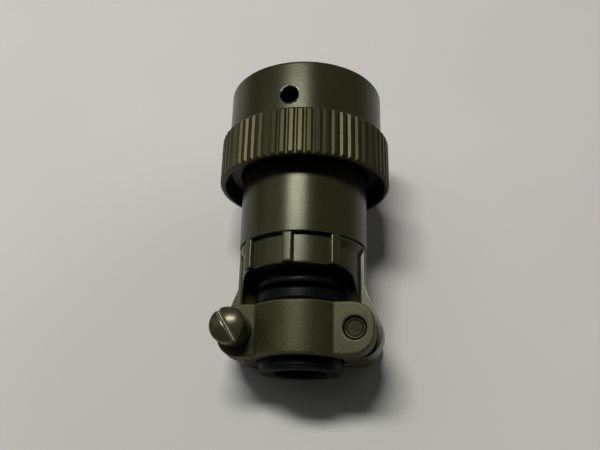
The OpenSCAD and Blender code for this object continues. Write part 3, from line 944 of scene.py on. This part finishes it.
@dataclass
class ContactInsert:
    """Shell, insert, contacts and the rubber pieces round them."""

    contact_ring: float = 4.2
    ring_contacts: int = 7
    disc_r: float = 6.6
    seal_z: float = 7.1
    seal_end: float = 7.9
    collar_z: float = 6.6
    collar_r: float = 1.16
    collar_edge: float = 0.18
    pin_hole_r: float = 0.61
    grommet_z: float = 16.9
    grommet_end: float = 21.4
    wire_hole_r: float = 0.9
    gasket_in: float = 7.63
    gasket_out: float = 9.35
    gasket_z: float = 7.95
    gasket_end: float = 9.25
    gasket_edge: float = 0.35
    gasket_steps: int = 6
    room: float = 0.3
    seal_cell: float = 0.13
    grommet_cell: float = 0.17

    def contacts(self) -> Array:
        """Places of the contacts: one at the centre and the others evenly on a ring.

        Returns:
            Points (n, 2).
        """
        a = np.pi / 2 + 2 * np.pi * np.arange(1, self.ring_contacts + 1) / self.ring_contacts
        ring = self.contact_ring * np.stack([np.cos(a), np.sin(a)], -1)
        return np.concatenate([np.zeros((1, 2)), ring])

    def nearest(self, x: Array, y: Array) -> Array:
        """Distance to the axis of the nearest contact.

        Args:
            x: Across the ears.
            y: Towards the front of the clamp.

        Returns:
            The distance.
        """
        best = np.full(x.shape, np.inf)
        for u, v in self.contacts():
            best = np.minimum(best, np.hypot(x - u, y - v))
        return best

    def seal(self, p: Spot) -> Array:
        """Distance to the face seal: a disc with a collar round each pin, less the pin holes.

        Args:
            p: Coordinates x, y and z.

        Returns:
            The distance.
        """
        x, y, z = p
        near = self.nearest(x, y)
        disc = meet(meet(np.hypot(x, y) - self.disc_r, self.seal_z - z, SOFT), z - self.seal_end)
        collar = meet(meet(near - self.collar_r, self.collar_z - z, self.collar_edge), z - self.seal_end)
        return cut(join(disc, collar, SOFT), near - self.pin_hole_r, CRISP)

    def grommet(self, p: Spot) -> Array:
        """Distance to the wire grommet: a rounded plug, less the wire holes.

        Args:
            p: Coordinates x, y and z.

        Returns:
            The distance.
        """
        x, y, z = p
        ends = np.maximum(self.grommet_z - z, z - self.grommet_end)
        body = meet(np.hypot(x, y) - self.disc_r, ends, FULL)
        return cut(body, self.nearest(x, y) - self.wire_hole_r, SOFT)

    def build(self) -> None:
        """Builds the rubber pieces and dresses the metal and plastic ones, whose shapes are right."""
        box = drum(self.disc_r, self.collar_z, self.seal_end)
        seal = Skin("face_seal").solid(self.seal, box, self.room, self.seal_cell)
        seal.build(SEAL_RUBBER, Body.SHELL, "interface_seal")
        box = drum(self.disc_r, self.grommet_z, self.grommet_end)
        grommet = Skin("rear_grommet").solid(self.grommet, box, self.room, self.grommet_cell)
        grommet.build(SEAL_RUBBER, Body.SHELL, "wire_grommet")
        sides = self.gasket_in, self.gasket_out, self.gasket_z, self.gasket_end
        outline = box_outline(*sides, self.gasket_edge, self.gasket_steps)
        Skin("flange_gasket").ring(outline).build(SEAL_RUBBER, Body.SHELL, "face_gasket")
        dressed = {
            "plug_shell": OLIVE_PLATING,
            "pin_insert": INSERT_PLASTIC,
            "grommet_follower": INSERT_PLASTIC,
            **{f"contact_{letter}": GOLD_PLATING for letter in "abcdefgh"},
        }
        for name, finish in dressed.items():
            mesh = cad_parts[name].data
            mesh.materials.clear()
            mesh.materials.append(finish.material())
            LOG.info("%s: dressed", name)


# Backshell, clamp body and gland


@dataclass
class Backshell:
    """Smooth barrel behind the nut."""

    bore_r: float = 8.55
    front: float = 14.7
    front_edge: float = 0.35
    rear: float = PLUG.seam - PLUG.seam_gap
    angles: int = 288

    def build(self) -> None:
        """Builds and dresses the barrel."""
        profile = rounded(
            [
                (self.bore_r, self.front, FULL),
                (PLUG.barrel_r, self.front, self.front_edge),
                (PLUG.barrel_r, self.rear, FINE),
                (self.bore_r, self.rear, HAIR),
            ]
        )
        barrel = Skin("smooth_barrel").ring(profile, self.angles)
        barrel.build(OLIVE_PLATING, Body.SHELL, "backshell")


@dataclass
class ClampBody:
    """Clamp body: spigot, ribbed band, two arms and two ears, in one piece."""

    spigot_r: float = 8.5
    spigot_bore: float = 7.3
    spigot_z: float = 22.65
    spigot_lap: float = 0.5
    front: float = PLUG.seam + PLUG.seam_gap
    lip_r: float = 6.4
    lip_z: float = 28.5
    band_end: float = 30.5
    arm_end: float = 35.0
    arm_edge: float = 0.25
    arm_bore: float = 7.65
    arm_half: float = 2.1
    arm_taper: float = 2.5
    window_r: float = 1.1
    window_end: float = 36.4
    web_half: float = 0.2
    web_slope: float = 0.75
    web_in: float = 6.9
    tongue_in: float = 6.5
    bead_front: float = 31.5
    bead_rear: float = 32.68
    tongue_end: float = 33.24
    recess: float = 0.8
    recess_fillet: float = 0.06
    recess_edge: float = 0.26
    rib_half: float = 0.73
    band_turn: float = 2.0
    recess_angle: float = 38.0
    arm_angle: float = 46.5
    arm_relief: float = 0.68
    relief_len: float = 1.5
    relief_first: float = 0.35
    face_edge: float = 0.18
    ear_half: float = 1.8
    ear_in: float = 6.2
    foot_z: float = 35.2
    ear_x: float = 8.15999
    ear_inset: float = 0.2
    flare_z: float = 32.1
    hole_r: float = 1.75
    half_box: Range = (12.0, 9.6)
    room: float = 0.4
    cell: float = 0.145

    def ear(self, p: Spot) -> Array:
        """Distance to the ears on one side: thick plates with a round end and a straight flare to it.

        Inside, their edge steps back round the gland's bead and reaches into the groove behind it.

        Args:
            p: Coordinates x, y and z.

        Returns:
            The distance.
        """
        x, y, z = p
        shoulder = np.array([PLUG.barrel_r - self.ear_inset, self.flare_z])
        centre = np.array([self.ear_x, PLUG.strap_mid])
        d = shoulder - centre
        a = math.atan2(d[1], d[0]) + math.acos(PLUG.strap_half / math.hypot(*d))
        touch = centre + PLUG.strap_half * np.array([math.cos(a), math.sin(a)])
        outside = [(shoulder[0], self.front), shoulder, touch, centre, (self.web_in, PLUG.strap_mid)]
        web, tongue = self.web_in, self.tongue_in
        groove = [(web, self.tongue_end), (tongue, self.tongue_end), (tongue, self.bead_rear)]
        bead = [(web, self.bead_rear), (web, self.bead_front), (tongue, self.bead_front)]
        corners = [(tongue, self.front), *outside, *groove, *bead]
        round_end = np.hypot(x - self.ear_x, z - PLUG.strap_mid) - PLUG.strap_half
        foot = np.maximum(x - self.ear_x, self.foot_z - z)
        outline = np.minimum(np.minimum(polygon(x, z, corners), round_end), foot)
        outline = meet(meet(outline, self.ear_in - x, FULL), z - PLUG.strap_end, FULL)
        plate = meet(outline, y - self.ear_half, CRISP)
        return cut(plate, np.hypot(x - PLUG.screw_x, z - PLUG.strap_mid) - self.hole_r, CRISP)

    def window(self, p: Spot) -> Array:
        """Distance to the windows between the arms.

        On the outside of an arm the edge stands at the height arm_half at its rear end and arm_taper higher
        at its front end. The wall runs straight down from that edge to the web in the middle of the arm, so
        its place across the arm is the third side of the triangle of the arm's radius and that height.

        Args:
            p: Coordinates x, y and z.

        Returns:
            The distance.
        """
        x, y, z = p
        share = np.clip((self.arm_end - z) / (self.arm_end - self.band_end), 0, 1)
        edge = self.arm_half + self.arm_taper * share
        wall = np.sqrt((PLUG.barrel_r - self.arm_relief) ** 2 - edge**2)
        opening = meet(x - wall, self.band_end - z, self.window_r)
        top = self.web_half + self.web_slope * np.maximum(x - self.web_in, 0)
        web = (top - y) / math.hypot(1, self.web_slope)
        return meet(meet(opening, z - self.window_end), web)

    def field(self, p: Spot) -> Array:
        """Distance to the clamp body; both halves are alike, so x and y count without their signs.

        The ribs and the arms' faces are drawn in u and v, which are x and y turned by band_turn.

        Args:
            p: Coordinates x, y and z.

        Returns:
            The distance.
        """
        x, y, z = p
        c, s = math.cos(math.radians(self.band_turn)), math.sin(math.radians(self.band_turn))
        u, v = np.abs(x * c + y * s), np.abs(y * c - x * s)
        r, x, y = np.hypot(x, y), np.abs(x), np.abs(y)
        tube = meet(meet(r - PLUG.barrel_r, self.front - z, FINE), z - self.arm_end, self.arm_edge)
        side = math.radians(self.recess_angle)
        wedge = meet(self.rib_half - u, u * math.cos(side) - v * math.sin(side), CRISP)
        tube = cut(tube, meet(wedge, PLUG.barrel_r - self.recess - r, self.recess_fillet), self.recess_edge)
        side = math.radians(90 - self.arm_angle)
        relief = self.arm_relief * np.clip((z - PLUG.seam) / self.relief_len, self.relief_first, 1)
        face = v * math.cos(side) - u * math.sin(side)
        tube = cut(tube, meet(face, PLUG.barrel_r - relief - r, HAIR), self.face_edge)
        tube = cut(tube, meet(r - self.arm_bore, self.band_end - z, FULL), SOFT)
        spigot = meet(meet(r - self.spigot_r, self.spigot_z - z, SOFT), z - PLUG.seam - self.spigot_lap)
        body = np.minimum(tube, spigot)
        body = cut(body, r - self.lip_r, SOFT)
        body = cut(body, meet(r - self.spigot_bore, z - self.lip_z, SOFT), SMALL)
        body = join(body, self.ear((x, y, z)), SOFT)
        return cut(body, self.window((x, y, z)), SOFT)

    def build(self) -> None:
        """Builds and dresses the body."""
        a, b = self.half_box
        box = (-a, -b, self.spigot_z), (a, b, PLUG.strap_end)
        body = Skin("clamp_frame").solid(self.field, box, self.room, self.cell)
        body.build(OLIVE_SATIN, Body.SHELL, "clamp_body")


@dataclass
class CableGland:
    """Rubber gland with a bead and a collar in front of the straps."""

    bore_r: float = 3.8
    flange_r: float = 7.2
    front: float = 22.75
    flange_end: float = 28.4
    neck_r: float = 6.4
    groove_r: float = 5.6
    collar_r: float = 6.9
    bead_z: float = 32.1
    bead_half: float = 0.52
    collar_z: float = 33.3
    collar_end: float = 35.0
    seat_r: float = 6.0
    rear: float = 44.4
    rim_w: float = 0.48
    rim_step: float = 0.2
    rim_rise: float = 0.05
    mouth_w: float = 0.15
    mouth_d: float = 0.3
    arc_steps: int = 6

    def build(self) -> None:
        """Builds and dresses the gland."""
        profile = rounded(
            [
                (self.bore_r, self.front, FULL),
                (self.flange_r, self.front, FULL),
                (self.flange_r, self.flange_end, FULL),
                (self.neck_r, self.flange_end, SOFT),
                (self.neck_r, self.bead_z - self.bead_half, SOFT),
                (self.collar_r, self.bead_z - self.bead_half, WIDE),
                (self.collar_r, self.bead_z + self.bead_half, WIDE),
                (self.groove_r, self.bead_z + self.bead_half, SMALL),
                (self.groove_r, self.collar_z, SMALL),
                (self.collar_r, self.collar_z, FULL),
                (self.collar_r, self.collar_end, WIDE),
                (self.seat_r, self.collar_end, FULL),
                (self.seat_r, self.rear - self.rim_w, FINE),
                (self.seat_r - self.rim_step, self.rear - self.rim_w + self.rim_rise, HAIR),
                (self.seat_r - self.rim_step, self.rear, SOFT),
                (self.bore_r + self.mouth_w, self.rear, CRISP),
                (self.bore_r, self.rear - self.mouth_d, CRISP),
            ],
            self.arc_steps,
        )
        Skin("gland_sleeve").ring(profile).build(GLAND_RUBBER, Body.SHELL, "cable_gland")


# Cable clamp


@dataclass
class ClampStrap:
    """One cast strap: a saddle over the gland with a lug at each side."""

    side: Side
    saddle_in: float = 6.1
    saddle_edge: float = 0.25
    lug_back: float = 2.25
    lug_fillet: float = 0.18
    corner_r: float = 3.3
    plan_edge: float = 0.32
    clear_r: float = 1.75
    tapped_r: float = 1.65
    tapped_edge: float = 0.16
    room: float = 0.4
    cell: float = 0.13

    def field(self, p: Spot) -> Array:
        """Distance to the strap: saddle and lugs joined by fillets, within a plan with round ends.

        Args:
            p: Coordinates x, y and z.

        Returns:
            The distance.
        """
        x, y, z = p
        r, across = np.hypot(x, y), z - PLUG.strap_mid
        lugs = np.abs(y - (self.lug_back + PLUG.lug_face) / 2) - (PLUG.lug_face - self.lug_back) / 2
        saddle = meet(r - PLUG.saddle_r, self.lug_back - y)
        body = cut(join(saddle, lugs, self.lug_fillet), r - self.saddle_in, self.saddle_edge)
        plan = meet(np.abs(x) - PLUG.lug_reach, np.abs(across) - PLUG.strap_half, self.corner_r)
        body = meet(body, plan, self.plan_edge)
        body = cut(body, np.hypot(x + PLUG.screw_x, across) - self.clear_r, CRISP)
        return cut(body, np.hypot(x - PLUG.screw_x, across) - self.tapped_r, self.tapped_edge)

    def build(self) -> None:
        """Builds and dresses the strap."""
        low = (-PLUG.lug_reach, self.lug_back, PLUG.strap_mid - PLUG.strap_half)
        high = (PLUG.lug_reach, PLUG.saddle_r, PLUG.strap_mid + PLUG.strap_half)
        strap = Skin(f"{self.side.value}_saddle")
        strap.solid(self.field, (low, high), self.room, self.cell, self.side.place)
        strap.build(OLIVE_CAST, self.side.clamp(), f"{self.side.value}_strap")


@dataclass
class ClampScrew:
    """One slotted clamp screw with its lock washer, drawn with its axis up from the lug's face."""

    side: Side
    washer_t: float = 0.65
    head_r: float = 2.5
    head_h: float = 4.0
    dome_h: float = 0.7
    slot_half: float = 0.3
    slot_depth: float = 1.3
    slot_fillet: float = 0.08
    slot_edge: float = 0.07
    slot_turn: float = 58.0
    shank_r: float = 1.6
    shank_end: float = 10.6
    shank_lap: float = 0.3
    shank_angles: int = 40
    shank_steps: int = 200
    pitch: float = 0.6
    thread: float = 0.14
    thread_rise: float = 1.6
    thread_flat: float = 0.3
    taper_len: float = 0.45
    end_r: float = 1.42
    end_face: tuple[Range, ...] = ((0.0, 0.06), (0.95, 0.03), (1.05, 0.12), (1.15, 0.1))
    washer_in: float = 1.68
    washer_out: float = 2.47
    washer_split: float = 0.06
    washer_steps: int = 96
    room: float = 0.2
    cell: float = 0.07

    def stand(self, points: Array) -> Array:
        """Points with the screw's axis up, put on the screw's axis: up becomes +y and v becomes -z."""
        u, v, up = points[..., 0], points[..., 1], points[..., 2]
        return self.side.place(np.stack([u - PLUG.screw_x, PLUG.lug_face + up, PLUG.strap_mid - v], -1))

    def head(self, p: Spot) -> Array:
        """Distance to the head: a short cylinder under a flat dome, less the driver's slot.

        Args:
            p: Coordinates u, v and up.

        Returns:
            The distance.
        """
        u, v, up = p
        top = self.washer_t + self.head_h
        dome_r = (self.head_r**2 + self.dome_h**2) / (2 * self.dome_h)
        dome = np.sqrt(u * u + v * v + (up - top + dome_r) ** 2) - dome_r
        body = meet(np.hypot(u, v) - self.head_r, dome, FULL)
        body = meet(body, self.washer_t - up, SMALL)
        turn = math.radians(self.slot_turn)
        beside = np.abs(u * math.sin(turn) + v * math.cos(turn)) - self.slot_half
        return cut(body, meet(beside, top - self.slot_depth - up, self.slot_fillet), self.slot_edge)

    def shank(self) -> Array:
        """The threaded shank.

        The radius falls from the crest by a wave of the phase up / pitch - angle / turn, so that the crests
        run in a helix. It tapers to the screw's end, which is a turned face with a shallow ring round its
        middle.

        Returns:
            Points on a grid of height and angle.
        """
        a = np.linspace(0, 2 * np.pi, self.shank_angles, endpoint=False)
        up = np.linspace(-self.shank_end, self.washer_t + self.shank_lap, self.shank_steps)[:, None]
        phase = (up / self.pitch - a / (2 * np.pi)) % 1
        wave = np.clip(self.thread_rise * np.abs(2 * phase - 1) - self.thread_flat, 0, 1)
        taper = np.clip((up + self.shank_end) / self.taper_len, 0, 1)
        r = self.shank_r - self.thread * wave * taper - (self.shank_r - self.end_r) * (1 - taper)
        sides = np.stack([r * np.cos(a), r * np.sin(a), up + 0 * a], -1)
        face = turned(np.array(self.end_face) + np.array([0, -self.shank_end]), len(a))
        return np.concatenate([face, sides])

    def washer(self) -> Array:
        """The split lock washer: a rounded section carried round from one side of its split to the other.

        Returns:
            Points on a grid of angle and section.
        """
        half = self.washer_split
        a = math.radians(-self.slot_turn) + np.linspace(half, 2 * math.pi - half, self.washer_steps)
        outline = box_outline(self.washer_in, self.washer_out, 0, self.washer_t, CRISP)
        return capped(strip(outline, a, 0 * a))

    def build(self) -> None:
        """Builds and dresses the screw and its washer."""
        side = self.side.value
        box = drum(self.head_r, self.washer_t, self.washer_t + self.head_h)
        screw = Skin(f"{side}_slotted_screw").solid(self.head, box, self.room, self.cell, self.stand)
        screw.build(SCREW_METAL, self.side.fastener(), f"{side}_screw")
        shank = Skin(f"{side}_screw_shank").grid(self.stand(capped(self.shank())), False)
        shank.build(SCREW_THREAD, self.side.fastener(), f"{side}_screw")
        washer = Skin(f"{side}_split_washer").grid(self.stand(self.washer()), False)
        washer.build(SPRING_STEEL, self.side.clamp(), f"{side}_lock_washer")


# Stage


@dataclass
class Table:
    """Pale table top under the plug, darker and greener round the plug as painted shade."""

    half: float = 0.9
    colour: Colour = (0.565, 0.55, 0.528)
    patch: Colour = (0.58, 0.565, 0.543)
    # Darker, greener tone round the plug: painted shade
    near: Colour = (0.51, 0.516, 0.486)
    middle: Triple = (-12.0, -42.0, 0.0)
    reach: Range = (22.0, 52.0)
    patch_size: float = 30.0
    patch_range: Range = (0.3, 0.7)
    tooth: float = 0.8
    tooth_depth: float = 0.02
    roughness: float = 0.75
    specular: float = 0.25

    def build(self, height: float) -> None:
        """Makes the table top.

        Args:
            height: Height of its surface in metres.
        """
        h = self.half
        mesh = bpy.data.meshes.new("table")
        corners = [(-h, -h, height), (h, -h, height), (h, h, height), (-h, h, height)]
        mesh.from_pydata(corners, [], [(0, 1, 2, 3)])
        table = placed("table", mesh)
        g = Graph("table_paper")
        place = g.place()
        drift = g.noise(place, self.patch_size, DETAIL).ramp(*self.patch_range)
        tone = g.mix(drift, self.colour, self.patch)
        # Painted shade: the tone turns to the near tone within reach of the middle, round the plug
        inputs = {0: place, 1: (1.0, 1.0, 0.0)}
        flat = g.node("ShaderNodeVectorMath", {"operation": "MULTIPLY"}, inputs, "Vector")
        inputs = {0: flat, 1: self.middle}
        painted_shade_distance = g.node("ShaderNodeVectorMath", {"operation": "DISTANCE"}, inputs, "Value")
        tone = g.mix(painted_shade_distance.ramp(*self.reach), self.near, tone)
        normal = g.bump(g.noise(place, self.tooth, DETAIL), self.tooth_depth)
        inputs = {
            "Base Color": tone,
            "Roughness": self.roughness,
            "Specular IOR Level": self.specular,
            "Normal": normal,
        }
        mesh.materials.append(g.finish(g.node("ShaderNodeBsdfPrincipled", {}, inputs)))


@dataclass(frozen=True)
class SoftLamp:
    """One oblong soft lamp that looks at the plug, with its width across the plug."""

    name: str
    towards: Triple
    distance: float
    width: float
    depth: float
    power: float
    colour: Colour = (1.0, 1.0, 1.0)

    def build(self, centre: Vector) -> None:
        """Makes the lamp.

        Args:
            centre: Point that it looks at, in metres.
        """
        data = bpy.data.lights.new(self.name, "AREA")
        data.shape = "RECTANGLE"
        data.size, data.size_y = self.width, self.depth
        data.energy, data.color = self.power, self.colour
        lamp = placed(self.name, data)
        way = Vector(self.towards).normalized()
        ahead = way.cross(Vector((1, 0, 0))).normalized()
        turn = Matrix((ahead.cross(way), ahead, way)).transposed()
        lamp.matrix_world = Matrix.Translation(centre + way * self.distance) @ turn.to_4x4()


@dataclass
class Studio:
    """Lamps, the room's even light, and the camera."""

    lamps: tuple[SoftLamp, ...] = (
        SoftLamp("key", (-0.233, 0.255, 0.938), 0.5, 0.22, 0.075, 2.3, (1.0, 0.985, 0.96)),
        SoftLamp("left_window", (-0.78, 0.2, 0.6), 0.6, 0.45, 0.35, 0.29, (0.97, 0.99, 1.0)),
        SoftLamp("right_wall", (0.75, 0.5, 0.42), 0.8, 1.0, 0.8, 0.38, (1.0, 1.0, 1.0)),
    )
    room: Colour = (1.0, 0.99, 0.96)
    room_level: float = 0.052
    eye: Triple = (-0.612, -74.293, 79.675)
    aim: Triple = (-0.612, -23.515, -0.615)
    roll: float = 1.354
    lens: float = 38.485
    sensor: float = 36.0
    clip: Range = (0.005, 5.0)

    def light(self, centre: Vector) -> None:
        """Sets the world and the lamps.

        Args:
            centre: Point that the lamps look at, in metres.
        """
        world = bpy.data.worlds.new("room")
        bpy.context.scene.world = world
        world.use_nodes = True
        shade = world.node_tree.nodes["Background"]
        shade.inputs["Color"].default_value = (*self.room, 1.0)
        shade.inputs["Strength"].default_value = self.room_level
        for lamp in self.lamps:
            lamp.build(centre)

    def camera(self) -> None:
        """Puts the camera where the photograph was taken from."""
        data = bpy.data.cameras.new("eye")
        data.lens, data.sensor_width = self.lens, self.sensor
        data.clip_start, data.clip_end = self.clip
        camera = placed("eye", data)
        eye, aim = Vector(self.eye) * MM, Vector(self.aim) * MM
        turn = (aim - eye).to_track_quat("-Z", "Y").to_matrix()
        twist = Matrix.Rotation(math.radians(self.roll), 3, "Z")
        camera.matrix_world = Matrix.Translation(eye) @ (turn @ twist).to_4x4()
        bpy.context.scene.camera = camera


def main() -> None:
    """Builds the plug from the mating end to the cable end, then the stage."""
    logging.basicConfig(level=logging.INFO, format="%(message)s")
    bpy.context.scene.view_settings.view_transform = "Standard"
    low, high = cad_box
    CouplingNut().build()
    NutRetention().build()
    ContactInsert().build()
    Backshell().build()
    ClampBody().build()
    CableGland().build()
    for side in Side:
        ClampStrap(side).build()
        ClampScrew(side).build()
    Table().build(low.z)
    studio = Studio()
    studio.light((low + high) / 2)
    studio.camera()


if __name__ == "__main__":
    main()
